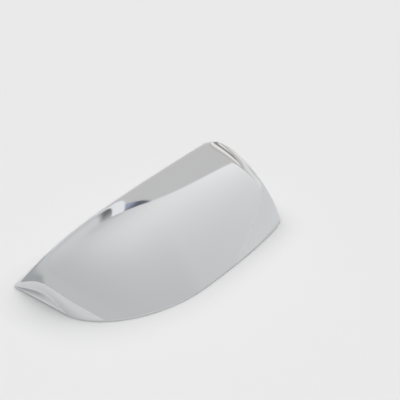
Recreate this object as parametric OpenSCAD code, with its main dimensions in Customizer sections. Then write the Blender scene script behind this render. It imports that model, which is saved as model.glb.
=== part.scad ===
// Wing mirror cover: one chrome-plated moulded shell, open underneath, resting on its flat rim.
// X runs along the cover with the inboard end at +X, Y from the near edge to the far edge, Z up.
// The skin is a loft of rows that run from the outboard end, over the crown, round the inboard
// crease and down the inboard side. The inner skin lies one wall inside the outer skin.

/* [Rim] */
// Length of the rim from the outboard end to the inboard corners
rim_length = 239; // [205:1:280]
// Width of the rim at the inboard end
rim_width = 110; // [100:1:130]
// How far the near edge bows out of its chord
near_bow = 12.4; // [6:0.1:18]
// How far the far edge bows out of its chord
far_bow = 5.4; // [1:0.1:12]
// Width left between the near chord and the near end of the straight outboard edge
end_near_inset = 48.5; // [30:0.5:55]
// Width left between the far chord and the far end of the straight outboard edge
end_far_inset = 5; // [3:0.5:14]
// Length of the large round between the near edge and the outboard edge
near_corner = 92; // [65:1:110]
// Length of the small round between the far edge and the outboard edge
far_corner = 10; // [6:0.5:24]
// How far the outboard edge leans inboard across the width of the rim
end_setback = 21.5; // [10:0.5:30]
// Height of the upright land all round the rim
rim_land = 2; // [1:0.1:4]

/* [Crown] */
// Height of the crown above the rim plane
crown_height = 93.8; // [78:0.2:108]
// Distance of the highest point of the crest line from the inboard corners
crown_from_inboard = 28; // [20:0.5:45]
// How far the crest line falls from its highest point to the inboard corners
fall_inboard = 0.9; // [0:0.1:6]
// How far the crest line falls from its highest point to the outboard end
fall_outboard = 45.4; // [35:0.2:55]
// Exponent of the crest line's fall towards the outboard end
fall_power = 1.08; // [1:0.01:1.4]
// Distance of the crest line from the near chord at the inboard end
crest_inboard = 49.6; // [44:0.2:60]
// Distance of the crest line from the near chord at the outboard end
crest_outboard = 67.5; // [62:0.5:80]
// Length over which the outboard end rounds down to the rim
end_round = 155; // [120:1:175]
// Exponent of the outboard round, larger is squarer
end_power = 4.6; // [3:0.1:5.5]
// Softness of the crest towards the near face, larger is rounder
near_softness = 0.9; // [0.4:0.05:1.6]
// Softness of the crest towards the far face, larger is rounder
far_softness = 0.4; // [0.2:0.05:1]

/* [Inboard side] */
// How far the inboard side bulges past the inboard corners
side_bulge = 8; // [4:0.5:12]
// How far the inboard side leans outboard at the height of the crown
side_lean = 47.8; // [38:0.2:58]
// Exponent of the lean, larger keeps the foot more upright
lean_power = 1.3; // [1.1:0.05:2]
// Length of the round on the inboard crease at the crown
crease_round = 18.5; // [10:0.5:24]
// Exponent with which the round narrows towards the rim
round_power = 0.7; // [0.5:0.05:1.5]

/* [Wall] */
// Thickness of the moulded wall
wall = 2.5; // [2:0.1:3.5]

/* [Hidden] */
// Rows across the cover, and points along each row
row_count = 37;
skin_points = 46;
round_points = 8;
side_points = 13;
// Points crowd towards the steep outboard end by this power
crowding = 1.8;
// Inset of the inner edges in plan, for a wall that slopes
plan_inset = 1.12 * wall;
// Step over which the slope of the skin is taken
slope_step = 0.4;
// Least height of the inner skin as a share of the outer one, next to the rim
least_rise = 0.02;
// The crease round takes no more than this share of the crease's height
round_share = 0.6;
bisection_steps = 24;
chrome = [0.70, 0.71, 0.72];

row_points = skin_points + round_points + side_points;
skin_rise = crown_height - rim_land;
centre_x = (side_bulge - rim_length) / 2;
centre_y = (rim_width + far_bow - near_bow) / 2;
end_far = rim_width - end_far_inset;

function clamp(v) = min(1, max(0, v));
function mix(a, b, t) = a + (b - a) * t;

// Share of the way along the rim, 0 at the inboard corners and 1 at the outboard end
function along(s) = clamp(-s / rim_length);

// Quarter round that is 1 at the outboard end and 0 once past its length
function corner(s, length, inset) =
    1 - sqrt(max(0, 1 - pow(1 - clamp((s + rim_length - inset) / length), 2)));

// Near and far edges of the rim at a station s
function near_edge(s, inset) =
    inset - near_bow * sqrt(max(0, 1 - pow(2 * along(s) - 1, 2)))
    + end_near_inset * corner(s, near_corner, inset);
function far_edge(s, inset) =
    rim_width - inset + far_bow * (1 - pow(2 * along(s) - 1, 2))
    - end_far_inset * corner(s, far_corner, inset);

// Crest line: its place across the rim and its height
function crest_y(s) = mix(crest_inboard, crest_outboard, along(s));
function crest_fall(s) =
    s > -crown_from_inboard
        ? fall_inboard * pow((s + crown_from_inboard) / crown_from_inboard, 2)
        : fall_outboard * pow((-crown_from_inboard - s) / (rim_length - crown_from_inboard), fall_power);
function end_rise(s) =
    pow(max(0, 1 - pow(1 - clamp((s + rim_length) / end_round), end_power)), 1 / end_power);
function crest_z(s) = (skin_rise - crest_fall(s)) * end_rise(s);

// Profile across the crown: it rises from the rim and turns over at the crest
function turn(t, softness) =
    1 - (sqrt(pow(1 - t, 2) + pow(softness, 2)) - softness) / (sqrt(1 + pow(softness, 2)) - softness);

// Height of the outer skin over the rim, and of the inner skin one wall below it
function outer_z(s, y) =
    let (c = crest_y(s), n = near_edge(s, 0), f = far_edge(s, 0))
    crest_z(s) * (y < c
        ? turn(clamp((y - n) / (c - n)), near_softness)
        : turn(clamp((f - y) / (f - c)), far_softness));
function inner_z(s, y) =
    let (
        z = outer_z(s, y),
        slope_along = (outer_z(s + slope_step, y) - outer_z(s - slope_step, y)) / (2 * slope_step),
        slope_across = (outer_z(s, y + slope_step) - outer_z(s, y - slope_step)) / (2 * slope_step)
    )
    max(least_rise * z, z - wall * norm([1, slope_along, slope_across]));

// The outboard end leans, so stations fan out from square to slanted
function fanned(s, y) = s * (1 - end_setback * (end_far - y) / (rim_length * end_far));

// Inboard side: bulges in plan and leans outboard as it rises, with the inner side one wall behind it
function outer_side_x(y, z) =
    let (w = clamp(y / rim_width))
    4 * side_bulge * w * (1 - w) - side_lean * pow(max(0, z) / skin_rise, lean_power);
function inner_side_x(y, z) =
    let (
        slope_up = (outer_side_x(y, z + slope_step) - outer_side_x(y, z - slope_step)) / (2 * slope_step),
        slope_across =
            (outer_side_x(y + slope_step, z) - outer_side_x(y - slope_step, z)) / (2 * slope_step)
    )
    outer_side_x(y, z) - wall * norm([1, slope_up, slope_across]);

// Points of the crown and of the inboard side, on the outer or the inner skin
function edge_inset(inner) = inner ? plan_inset : 0;
function crown_point(s, v, inner) =
    let (i = edge_inset(inner), y = mix(near_edge(s, i), far_edge(s, i), v))
    [fanned(s, y), y, inner ? inner_z(s, y) : outer_z(s, y)];
function side_point(y, z, inner) = [inner ? inner_side_x(y, z) : outer_side_x(y, z), y, z];

// The station where a row of the crown meets the inboard side
function past_side(s, v, inner) =
    let (p = crown_point(s, v, inner))
    p.x > side_point(p.y, p.z, inner).x;
function crease_station(v, inner, low, high, steps) =
    let (middle = (low + high) / 2)
    steps == 0 ? middle
    : past_side(middle, v, inner)
        ? crease_station(v, inner, low, middle, steps - 1)
        : crease_station(v, inner, middle, high, steps - 1);

function crease_meet(v, inner) =
    crease_station(v, inner, edge_inset(inner) - rim_length, side_bulge, bisection_steps);

// Foot of the inboard side, shared out evenly between its two corners
function corner_y(v, inner) = crown_point(crease_meet(v, inner), v, inner).y;
function foot_y(v, inner) = mix(corner_y(0, inner), corner_y(1, inner), v);

// One row: along the crown, round the crease and down the inboard side
function row(v, inner) =
    let (
        low = edge_inset(inner) - rim_length,
        foot = foot_y(v, inner),
        meet = crease_meet(v, inner),
        crease = crown_point(meet, v, inner),
        round_here = crease_round * pow(clamp(crease.z / skin_rise), round_power),
        reach = min(round_here, round_share * crease.z),
        turn_in = crown_point(meet - reach, v, inner),
        turn_out = side_point(crease.y, crease.z - reach, inner)
    )
    concat(
        [for (k = [0 : skin_points - 1])
            crown_point(mix(low, meet - reach, pow(k / (skin_points - 1), crowding)), v, inner)],
        [for (k = [1 : round_points])
            let (t = k / (round_points + 1))
            turn_in * (1 - t) * (1 - t) + crease * 2 * t * (1 - t) + turn_out * t * t],
        [for (k = [0 : side_points - 1])
            let (t = k / (side_points - 1))
            side_point(mix(crease.y, foot, t), (crease.z - reach) * (1 - t), inner)]
    );

// Rows crowd towards the two long edges
function row_share(r) = (1 - cos(180 * r / (row_count - 1))) / 2;
function skin(inner) = [for (r = [0 : row_count - 1]) each row(row_share(r), inner)];

// Index of a point; the first and last rows end at their corner, where the crease meets the rim.
// A quad that touches such a corner loses the triangle that has closed up
function is_edge_row(r) = r == 0 || r == row_count - 1;
function at(r, k) = r * row_points + (is_edge_row(r) ? min(k, skin_points - 1) : k);
function is_open(t) = t[0] != t[1] && t[1] != t[2] && t[2] != t[0];
function quad(a, b, c, d) = [for (t = [[a, b, c], [a, c, d]]) if (is_open(t)) t];

// The rim as a loop of point indices: outboard edge, far edge, inboard foot, near edge
rim_loop = concat(
    [for (r = [0 : row_count - 1]) at(r, 0)],
    [for (k = [1 : skin_points - 1]) at(row_count - 1, k)],
    [for (r = [row_count - 2 : -1 : 1]) at(r, row_points - 1)],
    [for (k = [skin_points - 1 : -1 : 1]) at(0, k)]
);

module cover_shell() {
    skin_size = row_count * row_points;
    rim_size = len(rim_loop);
    outer = [for (p = skin(false)) p + [0, 0, rim_land]];
    inner = [for (p = skin(true)) p + [0, 0, rim_land]];
    outer_rim = [for (k = rim_loop) [outer[k].x, outer[k].y, 0]];
    inner_rim = [for (k = rim_loop) [inner[k].x, inner[k].y, 0]];
    outer_base = 2 * skin_size;
    inner_base = outer_base + rim_size;
    skin_faces = [for (r = [0 : row_count - 2], k = [0 : row_points - 2])
        each quad(at(r, k), at(r, k + 1), at(r + 1, k + 1), at(r + 1, k))];
    outer_faces = [for (f = skin_faces) [f[2], f[1], f[0]]];
    inner_faces = [for (f = skin_faces) [for (k = f) k + skin_size]];
    land_faces = [for (k = [0 : rim_size - 1])
        let (n = (k + 1) % rim_size, a = rim_loop[k], b = rim_loop[n])
        each concat(
            quad(b, a, outer_base + k, outer_base + n),
            quad(outer_base + n, outer_base + k, inner_base + k, inner_base + n),
            quad(inner_base + n, inner_base + k, skin_size + a, skin_size + b)
        )];
    color(chrome)
        translate([-centre_x, -centre_y, 0])
            polyhedron(
                points = concat(outer, inner, outer_rim, inner_rim),
                faces = concat(outer_faces, inner_faces, land_faces),
                convexity = 6
            );
}

cover_shell();
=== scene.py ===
"""A chrome wing mirror cover that lies open side down on a pale table.

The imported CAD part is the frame. The shell is lofted again here, finer, from the same sizes,
so that the chrome mirrors the studio in smooth lines. Metres throughout; Z is up.
"""

import math

import bpy
import numpy as np
from mathutils import Matrix, Vector


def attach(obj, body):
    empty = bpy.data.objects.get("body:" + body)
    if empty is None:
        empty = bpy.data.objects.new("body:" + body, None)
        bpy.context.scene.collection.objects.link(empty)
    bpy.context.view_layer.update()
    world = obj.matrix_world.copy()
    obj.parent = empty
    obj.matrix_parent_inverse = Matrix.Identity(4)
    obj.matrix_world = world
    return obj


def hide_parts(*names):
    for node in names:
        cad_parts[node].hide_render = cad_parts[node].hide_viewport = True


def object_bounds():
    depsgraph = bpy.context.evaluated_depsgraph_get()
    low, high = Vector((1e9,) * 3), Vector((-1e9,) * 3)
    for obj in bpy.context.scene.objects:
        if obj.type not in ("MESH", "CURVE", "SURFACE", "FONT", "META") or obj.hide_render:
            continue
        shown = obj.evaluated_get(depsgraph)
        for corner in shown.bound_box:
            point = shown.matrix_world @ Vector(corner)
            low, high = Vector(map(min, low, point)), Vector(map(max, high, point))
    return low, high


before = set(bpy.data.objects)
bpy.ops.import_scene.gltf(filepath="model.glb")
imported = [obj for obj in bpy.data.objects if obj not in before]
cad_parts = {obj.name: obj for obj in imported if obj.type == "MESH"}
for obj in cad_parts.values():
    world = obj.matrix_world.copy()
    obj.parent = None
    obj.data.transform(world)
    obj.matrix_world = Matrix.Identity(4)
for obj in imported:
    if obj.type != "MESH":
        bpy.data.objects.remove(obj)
cad_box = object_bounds()

MM = 0.001

# Rim, as in the part's source
RIM_LENGTH = 239 * MM
RIM_WIDTH = 110 * MM
NEAR_BOW = 12.4 * MM
FAR_BOW = 5.4 * MM
END_NEAR_INSET = 48.5 * MM
END_FAR_INSET = 5 * MM
NEAR_CORNER = 92 * MM
FAR_CORNER = 10 * MM
END_SETBACK = 21.5 * MM
RIM_LAND = 2 * MM

# Crown
CROWN_HEIGHT = 93.8 * MM
CROWN_FROM_INBOARD = 28 * MM
FALL_INBOARD = 0.9 * MM
FALL_OUTBOARD = 45.4 * MM
FALL_POWER = 1.08
CREST_INBOARD = 49.6 * MM
CREST_OUTBOARD = 67.5 * MM
END_ROUND = 155 * MM
END_POWER = 4.6
NEAR_SOFTNESS = 0.9
FAR_SOFTNESS = 0.4

# Inboard side, crease and wall
SIDE_BULGE = 8 * MM
SIDE_LEAN = 47.8 * MM
LEAN_POWER = 1.3
CREASE_ROUND = 18.5 * MM
ROUND_POWER = 0.7
ROUND_SHARE = 0.6
WALL = 2.5 * MM
PLAN_INSET = 1.12 * WALL
LEAST_RISE = 0.02

SKIN_RISE = CROWN_HEIGHT - RIM_LAND
END_FAR = RIM_WIDTH - END_FAR_INSET
CENTRE = np.array([(SIDE_BULGE - RIM_LENGTH) / 2, (RIM_WIDTH + FAR_BOW - NEAR_BOW) / 2, 0])

# Lip of the rim from the skin down to the table: height and step inward, in pairs
LIP = [
    (1.97 * MM, 0.03 * MM),
    (1.80 * MM, 0.33 * MM),
    (1.75 * MM, 0.36 * MM),
    (1.70 * MM, 0.348 * MM),
    (0.25 * MM, 0.012 * MM),
    (0.20 * MM, 0.0 * MM),
    (0.10 * MM, 0.05 * MM),
    (0.0 * MM, 0.15 * MM),
]
INNER_EDGE = 0.35 * MM

# Fineness of the mesh
ROWS = 150
CROWN_POINTS = 150
ROUND_POINTS = 20
SIDE_POINTS = 40
INNER_EDGE_STEPS = 4
CROWDING = 1.5
SLOPE_STEP = 0.4 * MM
BISECTION_STEPS = 40

# Camera: looks down 30 degrees, and sees as far to each side as half its distance
CAMERA_PLACE = Vector((-206.45, -231.42, 231.94)) * MM
CAMERA_AIM = Vector((0.63939, 0.58411, -0.5)).normalized()
LENS = 36
SENSOR_WIDTH = 36

# Table, with a painted contact shade in its colour that reaches a little way out from the cover
TABLE_HALF = 6.0
TABLE_COLOUR = (0.82, 0.82, 0.82, 1)
PAINTED_CONTACT_SHADE_COLOUR = (0.42, 0.42, 0.425, 1)
CONTACT_REACH = 30 * MM

# Grey card outside the left edge of the picture, seen only mirrored in the outboard end. It turns
# from pale to dark downward over the first fade, in Z, and towards its far end over the other, in Y
CARD_FAR = (-88 * MM, 182 * MM)
CARD_NEAR = (-253 * MM, -187 * MM)
CARD_HEIGHT = 40 * MM
CARD_DOWNWARD_FADE = (36 * MM, 10 * MM)
CARD_FAR_FADE = (32 * MM, 46 * MM)
CARD_PALE = (0.69, 0.69, 0.69, 1)
CARD_DARK = (0.46, 0.48, 0.49, 1)

# Chrome
CHROME_COLOUR = (0.70, 0.71, 0.72, 1)
GLOSS_NOISE_SCALE = 40
GLOSS_NOISE_DETAIL = 4
SMOOTHEST = 0.03
ROUGHEST = 0.06

# Colours painted on the studio's sky; 1 is white
WHITE = (1, 1, 1)
BOX_COLOUR = (0.675, 0.672, 0.68)
BACKDROP_COLOUR = (0.715, 0.705, 0.70, 1)
BACKDROP_FOOT_COLOUR = (0.98, 0.975, 0.96, 1)
POST_COLOUR = (0.40, 0.39, 0.38, 1)
SHADE_COLOUR = (0.15, 0.15, 0.16, 1)
GAP_COLOUR = (0.13, 0.12, 0.13, 1)
WHITE_CARD_COLOUR = (1.05, 1.06, 1.08, 1)
WEDGE_DARK = (0.15, 0.15, 0.19, 1)
WEDGE_BLUE = (0.42, 0.47, 0.59, 1)
HORIZON_COLOUR = (0.83, 0.83, 0.83, 1)

# Circles of the round window, one within another: azimuth and elevation of the middle, radius
# and blur of the edge, all in degrees, and the colour inside
WINDOW_CIRCLES = [
    (44, 25, 41.0, 0.8, (0.66, 0.63, 0.60, 1)),
    (43.5, 22.5, 38.4, 0.9, (1.04, 1.02, 1.00, 1)),
    (43, 12, 36.3, 1.0, (0.38, 0.36, 0.345, 1)),
    (42, 8.5, 29.4, 1.2, (0.97, 0.95, 0.93, 1)),
    (56, -15, 47.8, 0.8, (0.57, 0.55, 0.53, 1)),
    (56, -15, 45.6, 1.0, (0.72, 0.69, 0.67, 1)),
]

# Light on the table: a little from everywhere, and most of it from overhead
LIGHT_AROUND = 0.15
LIGHT_OVERHEAD = 2.55
OVERHEAD_POWER = 4

# Studio axes: away from the camera and to its right, both level
AWAY = Vector((CAMERA_AIM.x, CAMERA_AIM.y, 0)).normalized()
RIGHT = AWAY.cross(Vector((0, 0, 1)))


def along(s):
    """Share of the way from the inboard end, at station 0, to the outboard end."""
    return np.clip(-s / RIM_LENGTH, 0, 1)


def corner(s, length, inset):
    """Quarter round at the outboard end: 1 at the tip, and 0 from the given length onward."""
    reach = np.clip((s + RIM_LENGTH - inset) / length, 0, 1)
    return 1 - np.sqrt(np.maximum(0, 1 - (1 - reach) ** 2))


def near_edge(s, inset):
    bow = np.sqrt(np.maximum(0, 1 - (2 * along(s) - 1) ** 2))
    return inset - NEAR_BOW * bow + END_NEAR_INSET * corner(s, NEAR_CORNER, inset)


def far_edge(s, inset):
    bow = 1 - (2 * along(s) - 1) ** 2
    return RIM_WIDTH - inset + FAR_BOW * bow - END_FAR_INSET * corner(s, FAR_CORNER, inset)


def crest_y(s):
    return CREST_INBOARD + (CREST_OUTBOARD - CREST_INBOARD) * along(s)


def crest_z(s):
    """Height of the crest: highest a little way outboard, and rounded down at the outboard end."""
    inboard = np.maximum(0, (s + CROWN_FROM_INBOARD) / CROWN_FROM_INBOARD)
    outboard = np.maximum(0, (-CROWN_FROM_INBOARD - s) / (RIM_LENGTH - CROWN_FROM_INBOARD))
    fall = FALL_INBOARD * inboard**2 + FALL_OUTBOARD * outboard**FALL_POWER
    reach = np.clip((s + RIM_LENGTH) / END_ROUND, 0, 1)
    end_rise = np.maximum(0, 1 - (1 - reach) ** END_POWER) ** (1 / END_POWER)
    return (SKIN_RISE - fall) * end_rise


def turn(t, softness):
    """Rises from 0 at the rim to 1 at the crest, in a turn that is tighter for a small softness."""
    full = math.sqrt(1 + softness**2) - softness
    return 1 - (np.sqrt((1 - t) ** 2 + softness**2) - softness) / full


def outer_z(s, y):
    """Height of the outer skin over the rim."""
    near, far, crest = near_edge(s, 0), far_edge(s, 0), crest_y(s)
    near_rise = turn(np.clip((y - near) / (crest - near), 0, 1), NEAR_SOFTNESS)
    far_rise = turn(np.clip((far - y) / (far - crest), 0, 1), FAR_SOFTNESS)
    return crest_z(s) * np.where(y < crest, near_rise, far_rise)


def wall_depth(height, a, b):
    """The wall's thickness measured along one axis, where the skin slopes along the other two."""
    slope_a = height(a + SLOPE_STEP, b) - height(a - SLOPE_STEP, b)
    slope_b = height(a, b + SLOPE_STEP) - height(a, b - SLOPE_STEP)
    return WALL * np.sqrt(1 + (slope_a**2 + slope_b**2) / (2 * SLOPE_STEP) ** 2)


def side_x(y, z):
    """The inboard side: bulges midway along the rim, and leans outboard as it rises."""
    width = np.clip(y / RIM_WIDTH, 0, 1)
    lean = SIDE_LEAN * (np.maximum(0, z) / SKIN_RISE) ** LEAN_POWER
    return 4 * SIDE_BULGE * width * (1 - width) - lean


def crown_point(s, across, inner):
    """A point of the crown at station s, across from 0 at the near edge to 1 at the far edge."""
    inset = PLAN_INSET if inner else 0
    near, far = near_edge(s, inset), far_edge(s, inset)
    y = near + (far - near) * across
    z = outer_z(s, y)
    if inner:
        z = np.maximum(LEAST_RISE * z, z - wall_depth(outer_z, s, y))
    x = s * (1 - END_SETBACK * (END_FAR - y) / (RIM_LENGTH * END_FAR))
    return np.stack([x, y, z], -1)


def side_point(y, z, inner):
    x = side_x(y, z)
    if inner:
        x = x - wall_depth(side_x, y, z)
    return np.stack([x, y, z], -1)


def crease_station(across, inner):
    """The station at which each row of the crown runs into the inboard side."""
    low = np.full_like(across, (PLAN_INSET if inner else 0) - RIM_LENGTH)
    high = np.full_like(across, SIDE_BULGE)
    for _ in range(BISECTION_STEPS):
        middle = (low + high) / 2
        point = crown_point(middle, across, inner)
        side = side_point(point[..., 1], point[..., 2], inner)
        past = point[..., 0] > side[..., 0]
        high = np.where(past, middle, high)
        low = np.where(past, low, middle)
    return (low + high) / 2


def skin(inner):
    """Rows from the outboard end over the crown, round the crease and down the inboard side."""
    across = (1 - np.cos(np.linspace(0, math.pi, ROWS)))[:, None] / 2
    station = crease_station(across, inner)
    crease = crown_point(station, across, inner)
    crease_y, rise = crease[..., 1], crease[..., 2]
    reach = np.minimum(
        CREASE_ROUND * np.clip(rise / SKIN_RISE, 0, 1) ** ROUND_POWER,
        ROUND_SHARE * rise,
    )
    low = (PLAN_INSET if inner else 0) - RIM_LENGTH
    steps = np.linspace(0, 1, CROWN_POINTS)[None, :] ** CROWDING
    crown = crown_point(low + (station - reach - low) * steps, across, inner)

    t = (np.arange(1, ROUND_POINTS + 1) / (ROUND_POINTS + 1))[None, :, None]
    side_top = side_point(crease_y, rise - reach, inner)
    rounding = crown[:, -1:] * (1 - t) ** 2 + crease * 2 * t * (1 - t) + side_top * t * t

    down = np.linspace(0, 1, SIDE_POINTS)[None, :]
    foot_y = crease_y[0] + (crease_y[-1] - crease_y[0]) * across
    side_y = crease_y + (foot_y - crease_y) * down
    side = side_point(side_y, (rise - reach) * (1 - down), inner)

    points = np.concatenate([crown, rounding, side], 1)
    points[..., 2] += RIM_LAND
    return points - CENTRE


def border(grid):
    """The numbers along the grid's border, once round."""
    return np.concatenate([grid[0, :-1], grid[:-1, -1], grid[-1, :0:-1], grid[:0:-1, 0]])


def rim_rings(outer_rim, inner_rim):
    """Rings from the outer skin down the lip, over the rim land and up a round to the inner skin."""
    inward = inner_rim - outer_rim
    inward[:, 2] = 0
    inward /= np.linalg.norm(inward, axis=1, keepdims=True)
    rings = []
    for height, step in LIP:
        ring = outer_rim + inward * step
        ring[:, 2] = height
        rings.append(ring)
    for k in range(INNER_EDGE_STEPS + 1):
        turned = math.pi / 2 * (1 - k / INNER_EDGE_STEPS)
        ring = inner_rim - inward * INNER_EDGE * (1 - math.cos(turned))
        ring[:, 2] = INNER_EDGE * (1 - math.sin(turned))
        rings.append(ring)
    return rings


def shell_mesh(name, box):
    """The closed shell: outer skin, lipped rim land and inner skin, held to the size of the box."""
    outer, inner = skin(False), skin(True)
    grid = np.arange(outer.shape[0] * outer.shape[1]).reshape(outer.shape[:2])
    a, b = grid[:-1, :-1].ravel(), grid[1:, :-1].ravel()
    c, d = grid[1:, 1:].ravel(), grid[:-1, 1:].ravel()
    loop = border(grid)

    outer, inner = outer.reshape(-1, 3), inner.reshape(-1, 3)
    rings = rim_rings(outer[loop], inner[loop])
    inner_start = len(outer) + len(loop) * len(rings)
    ring_numbers = [loop]
    ring_numbers += np.split(np.arange(len(outer), inner_start), len(rings))
    ring_numbers.append(loop + inner_start)

    faces = [np.stack([a, d, c, b], 1)]
    for upper, lower in zip(ring_numbers, ring_numbers[1:]):
        faces.append(np.stack([upper, np.roll(upper, -1), np.roll(lower, -1), lower], 1))
    faces.append(np.stack([a, b, c, d], 1) + inner_start)

    points = np.concatenate([outer, *rings, inner])
    room = (np.array(box[1]) - np.array(box[0])) / np.ptp(points, axis=0)
    points = np.clip(points * np.minimum(1, room), box[0], box[1])
    mesh = bpy.data.meshes.new(name)
    mesh.from_pydata(points.tolist(), [], np.concatenate(faces).tolist())
    mesh.validate()
    mesh.shade_smooth()
    return mesh


class Nodes:
    """Small helpers to write a node tree as sums."""

    def __init__(self, tree):
        self.nodes, self.links = tree.nodes, tree.links

    def put(self, value, socket):
        """Links an output or sets a plain value."""
        if isinstance(value, bpy.types.NodeSocket):
            self.links.new(value, socket)
        else:
            socket.default_value = value

    def math(self, operation, *values):
        node = self.nodes.new("ShaderNodeMath")
        node.operation = operation
        for value, socket in zip(values, node.inputs):
            self.put(value, socket)
        return node.outputs[0]

    def vector_math(self, operation, first, second, second_socket=1):
        node = self.nodes.new("ShaderNodeVectorMath")
        node.operation = operation
        self.put(first, node.inputs[0])
        self.put(second, node.inputs[second_socket])
        return node

    def dot(self, vector, constant):
        return self.vector_math("DOT_PRODUCT", vector, constant).outputs["Value"]

    def add(self, first, second):
        return self.vector_math("ADD", first, second).outputs["Vector"]

    def scale(self, colour, share):
        """A constant colour times a value."""
        return self.vector_math("SCALE", colour, share, "Scale").outputs["Vector"]

    def map_range(self, value, **limits):
        """The node that maps a value from From Min and From Max to To Min and To Max."""
        node = self.nodes.new("ShaderNodeMapRange")
        self.put(value, node.inputs["Value"])
        for limit, number in limits.items():
            node.inputs[limit.replace("_", " ").title()].default_value = number
        return node

    def ramp(self, value, low, high):
        """0 at low and 1 at high, smoothly between and level beyond; low may be the larger one."""
        node = self.map_range(value, from_min=low, from_max=high)
        node.interpolation_type = "SMOOTHSTEP"
        return node.outputs["Result"]

    def mix(self, share, first, second):
        """The first colour where share is 0 and the second where it is 1."""
        node = self.nodes.new("ShaderNodeMix")
        node.data_type = "RGBA"
        self.put(share, node.inputs["Factor"])
        self.put(first, node.inputs["A"])
        self.put(second, node.inputs["B"])
        return node.outputs["Result"]


def new_material(name):
    """A new material, the helpers for its node tree and its shader."""
    material = bpy.data.materials.new(name)
    material.use_nodes = True
    shader = material.node_tree.nodes["Principled BSDF"]
    return material, Nodes(material.node_tree), shader


def chrome_material():
    """Polished plating: a bright mirror with slight changes of gloss."""
    material, tree, shader = new_material("chrome_plating")
    shader.inputs["Base Color"].default_value = CHROME_COLOUR
    shader.inputs["Metallic"].default_value = 1.0
    gloss = tree.nodes.new("ShaderNodeTexNoise")
    gloss.inputs["Scale"].default_value = GLOSS_NOISE_SCALE
    gloss.inputs["Detail"].default_value = GLOSS_NOISE_DETAIL
    tree.put(tree.nodes.new("ShaderNodeTexCoord").outputs["Object"], gloss.inputs["Vector"])
    roughness = tree.map_range(gloss.outputs["Fac"], to_min=SMOOTHEST, to_max=ROUGHEST)
    tree.put(roughness.outputs["Result"], shader.inputs["Roughness"])
    return material


def table_material():
    """Matt and pale, with painted shade in its colour close round the cover's rim."""
    material, tree, shader = new_material("table")
    # Painted shade: ambient occlusion darkens the table's colour near the cover's rim
    contact = tree.nodes.new("ShaderNodeAmbientOcclusion")
    contact.samples = 16
    contact.inputs["Distance"].default_value = CONTACT_REACH
    colour = tree.mix(contact.outputs["AO"], PAINTED_CONTACT_SHADE_COLOUR, TABLE_COLOUR)
    tree.put(colour, shader.inputs["Base Color"])
    shader.inputs["Roughness"].default_value = 0.9
    shader.inputs["Specular IOR Level"].default_value = 0.0
    return material


def card_material():
    """Glows grey, darker low down and at the far end."""
    material, tree, shader = new_material("grey_card")
    tree.nodes.remove(shader)
    place = tree.nodes.new("ShaderNodeTexCoord").outputs["Object"]
    low = tree.ramp(tree.dot(place, (0, 0, 1)), *CARD_DOWNWARD_FADE)
    far = tree.ramp(tree.dot(place, (0, 1, 0)), *CARD_FAR_FADE)
    grey = tree.mix(tree.math("MULTIPLY", low, far), CARD_PALE, CARD_DARK)
    glow = tree.nodes.new("ShaderNodeEmission")
    tree.put(grey, glow.inputs["Color"])
    tree.put(glow.outputs["Emission"], tree.nodes["Material Output"].inputs["Surface"])
    return material


def heading(azimuth, elevation):
    """Unit direction; azimuth turns from straight away to the right, elevation is above the table."""
    turned, raised = math.radians(azimuth), math.radians(elevation)
    level = RIGHT * math.sin(turned) + AWAY * math.cos(turned)
    return tuple(level * math.cos(raised) + Vector((0, 0, math.sin(raised))))


class Sky(Nodes):
    """Masks on the world's sky, as seen from the cover, each 1 where it covers and 0 elsewhere."""

    def __init__(self, tree):
        super().__init__(tree)
        self.where = self.nodes.new("ShaderNodeTexCoord").outputs["Generated"]
        self.right = self.dot(self.where, tuple(RIGHT))
        self.back = self.dot(self.where, tuple(AWAY))
        self.height = self.dot(self.where, (0, 0, 1))

    def spot(self, azimuth, elevation, sharpness):
        """1 in one direction, fading softly round it."""
        closeness = self.math("SUBTRACT", self.dot(self.where, heading(azimuth, elevation)), 1)
        return self.math("EXPONENT", self.math("MULTIPLY", closeness, sharpness))

    def lamp(self, azimuth, elevation, sharpness, strength, tint):
        glow = self.spot(azimuth, elevation, sharpness)
        return self.scale(tint, self.math("MULTIPLY", glow, strength))

    def circle(self, azimuth, elevation, radius, blur):
        """1 within a circle, its radius and the blur of its edge in degrees."""
        closeness = self.dot(self.where, heading(azimuth, elevation))
        outer = math.cos(math.radians(radius + blur))
        inner = math.cos(math.radians(radius - blur))
        return self.ramp(closeness, outer, inner)

    def beyond(self, slope, offset, blur):
        """0 nearer than the line back = offset - slope * right, and 1 behind it."""
        value = self.math("ADD", self.back, self.math("MULTIPLY", self.right, slope))
        return self.ramp(value, offset - blur, offset + blur)

    def overlap(self, *masks):
        joined = masks[0]
        for mask in masks[1:]:
            joined = self.math("MULTIPLY", joined, mask)
        return joined

    def inverse(self, mask):
        return self.math("SUBTRACT", 1, mask)


def soft_box_light(sky):
    """An even light with a bright far right end, a faint glow at two other places and a low haze."""
    far_end = sky.lamp(61.4, 32.7, sharpness=10.9, strength=1.17, tint=(1, 0.985, 0.96))
    near_right = sky.lamp(123, 66.8, sharpness=7.2, strength=0.245, tint=(1, 0.98, 0.94))
    left_end = sky.lamp(-60, 51.3, sharpness=5.75, strength=0.14, tint=(1, 1, 0.95))
    haze = sky.math("MULTIPLY", sky.ramp(sky.height, low=0.30, high=0.0), 0.04)
    light = sky.add(sky.add(BOX_COLOUR, far_end), sky.add(near_right, left_end))
    return sky.add(light, sky.scale(WHITE, haze))


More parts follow.
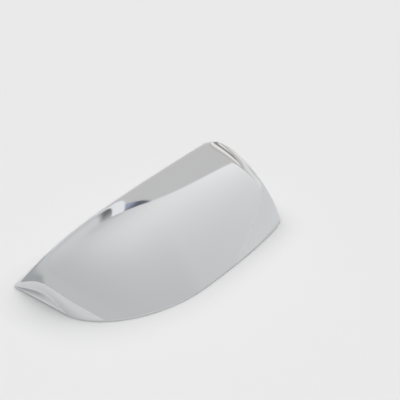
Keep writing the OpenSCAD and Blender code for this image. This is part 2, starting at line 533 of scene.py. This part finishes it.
def backdrop_light(sky):
    """A grey wall behind the table, bright at its foot on the right, with a window and a post."""
    foot = sky.overlap(
        sky.ramp(sky.height, low=0.62, high=0.34),
        sky.ramp(sky.back, low=0.0, high=0.4),
        sky.ramp(sky.right, low=-0.25, high=0.05),
    )
    light = sky.mix(foot, BACKDROP_COLOUR, BACKDROP_FOOT_COLOUR)

    window = light
    for azimuth, elevation, radius, blur, colour in WINDOW_CIRCLES:
        window = sky.mix(sky.circle(azimuth, elevation, radius, blur), window, colour)
    high_up = sky.ramp(sky.height, low=0.30, high=0.40)
    leftward = sky.ramp(sky.right, low=0.50, high=0.42)
    light = sky.mix(sky.math("MAXIMUM", high_up, leftward), light, window)

    post = sky.math("MULTIPLY", sky.spot(54, 7, sharpness=260), 0.8)
    return sky.mix(post, light, POST_COLOUR)


def painted_studio(sky):
    """Soft box over the camera's side, backdrop behind the table, and a white card on the left."""
    box_light = soft_box_light(sky)
    closeness = sky.dot(sky.where, heading(29.8, 31.6))
    past_box = sky.ramp(closeness, low=0.614, high=0.622)
    painted = sky.mix(past_box, box_light, backdrop_light(sky))

    # The backdrop ends on the left, and beyond it the soft box reaches down to the table
    backdrop_side = sky.beyond(slope=1.6, offset=-0.012, blur=0.012)
    card_side = sky.inverse(backdrop_side)
    painted = sky.mix(card_side, painted, box_light)

    # A dark gap runs along the white card's left edge, with a faint shade round its top
    shade = sky.math("MULTIPLY", sky.spot(-60, 74, sharpness=90), 0.14)
    painted = sky.mix(shade, painted, SHADE_COLOUR)
    gap = sky.overlap(
        sky.beyond(slope=2.1, offset=-0.478, blur=0.06),
        card_side,
        sky.ramp(sky.height, low=0.40, high=0.70),
        sky.ramp(sky.height, low=1.06, high=0.80),
        sky.beyond(slope=0.406, offset=0.08, blur=0.06),
    )
    painted = sky.mix(sky.math("MULTIPLY", gap, 0.85), painted, GAP_COLOUR)

    # The white card stands behind the soft box, and its lower part is cut back along a slant
    behind_box = sky.beyond(slope=0.406, offset=0.104, blur=0.008)
    clear_of_slant = sky.math(
        "MAXIMUM",
        sky.beyond(slope=1.4, offset=0.055, blur=0.02),
        sky.ramp(sky.height, low=0.45, high=0.55),
    )
    white_card = sky.overlap(
        behind_box,
        card_side,
        sky.beyond(slope=1.837, offset=-0.227, blur=0.012),
        clear_of_slant,
    )
    painted = sky.mix(white_card, painted, WHITE_CARD_COLOUR)

    # A dark blue wedge stands between the white card, the backdrop and the soft box
    past_wedge = sky.overlap(
        sky.beyond(slope=0.85, offset=0.163, blur=0.008),
        sky.beyond(slope=0.743, offset=0.176, blur=0.008),
    )
    wedge = sky.overlap(behind_box, sky.inverse(past_wedge), backdrop_side)
    wedge_light = sky.mix(sky.ramp(sky.right, low=0.02, high=-0.17), WEDGE_DARK, WEDGE_BLUE)
    painted = sky.mix(wedge, painted, wedge_light)
    return sky.mix(sky.ramp(sky.height, low=0.05, high=0.0), painted, HORIZON_COLOUR)


def studio_world():
    """Seen and mirrored as painted; the table is lit plainly, mostly from overhead."""
    world = bpy.data.worlds.new("studio")
    world.use_nodes = True
    sky = Sky(world.node_tree)
    upward = sky.math("POWER", sky.math("MAXIMUM", sky.height, 0), OVERHEAD_POWER)
    level = sky.math("ADD", sky.math("MULTIPLY", upward, LIGHT_OVERHEAD), LIGHT_AROUND)
    path = sky.nodes.new("ShaderNodeLightPath").outputs
    mirrored = sky.math("MAXIMUM", path["Is Glossy Ray"], path["Is Transmission Ray"])
    seen = sky.math("MAXIMUM", path["Is Camera Ray"], mirrored)
    light = sky.mix(seen, sky.scale(WHITE, level), painted_studio(sky))
    sky.put(light, sky.nodes["Background"].inputs["Color"])
    return world


def add_object(name, data):
    thing = bpy.data.objects.new(name, data)
    bpy.context.scene.collection.objects.link(thing)
    return thing


def add_sheet(name, corners, material):
    """A flat sheet with four corners."""
    mesh = bpy.data.meshes.new(name)
    mesh.from_pydata(corners, [], [(0, 1, 2, 3)])
    mesh.materials.append(material)
    return add_object(name, mesh)


def add_camera():
    data = bpy.data.cameras.new("camera")
    data.lens = LENS
    data.sensor_width = SENSOR_WIDTH
    camera = add_object("camera", data)
    turned = Matrix((RIGHT, RIGHT.cross(CAMERA_AIM), -CAMERA_AIM)).transposed().to_4x4()
    camera.matrix_world = Matrix.Translation(CAMERA_PLACE) @ turned
    return camera


def add_table():
    sides = [(-1, -1), (1, -1), (1, 1), (-1, 1)]
    corners = [(x * TABLE_HALF, y * TABLE_HALF, 0) for x, y in sides]
    return add_sheet("table", corners, table_material())


def add_grey_card():
    """Stands on the table and is seen only in mirrors."""
    corners = [
        (*CARD_FAR, 0),
        (*CARD_NEAR, 0),
        (*CARD_NEAR, CARD_HEIGHT),
        (*CARD_FAR, CARD_HEIGHT),
    ]
    card = add_sheet("grey_card", corners, card_material())
    card.visible_camera = False
    card.visible_diffuse = False
    card.visible_shadow = False
    return card


shell = add_object("cover_skin", shell_mesh("cover_skin", cad_box))
shell.data.materials.append(chrome_material())
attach(shell, "root")
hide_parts("cover_shell")

table = add_table()

card = add_grey_card()

bpy.context.scene.camera = add_camera()
bpy.context.scene.world = studio_world()
bpy.context.scene.view_settings.view_transform = "Standard"
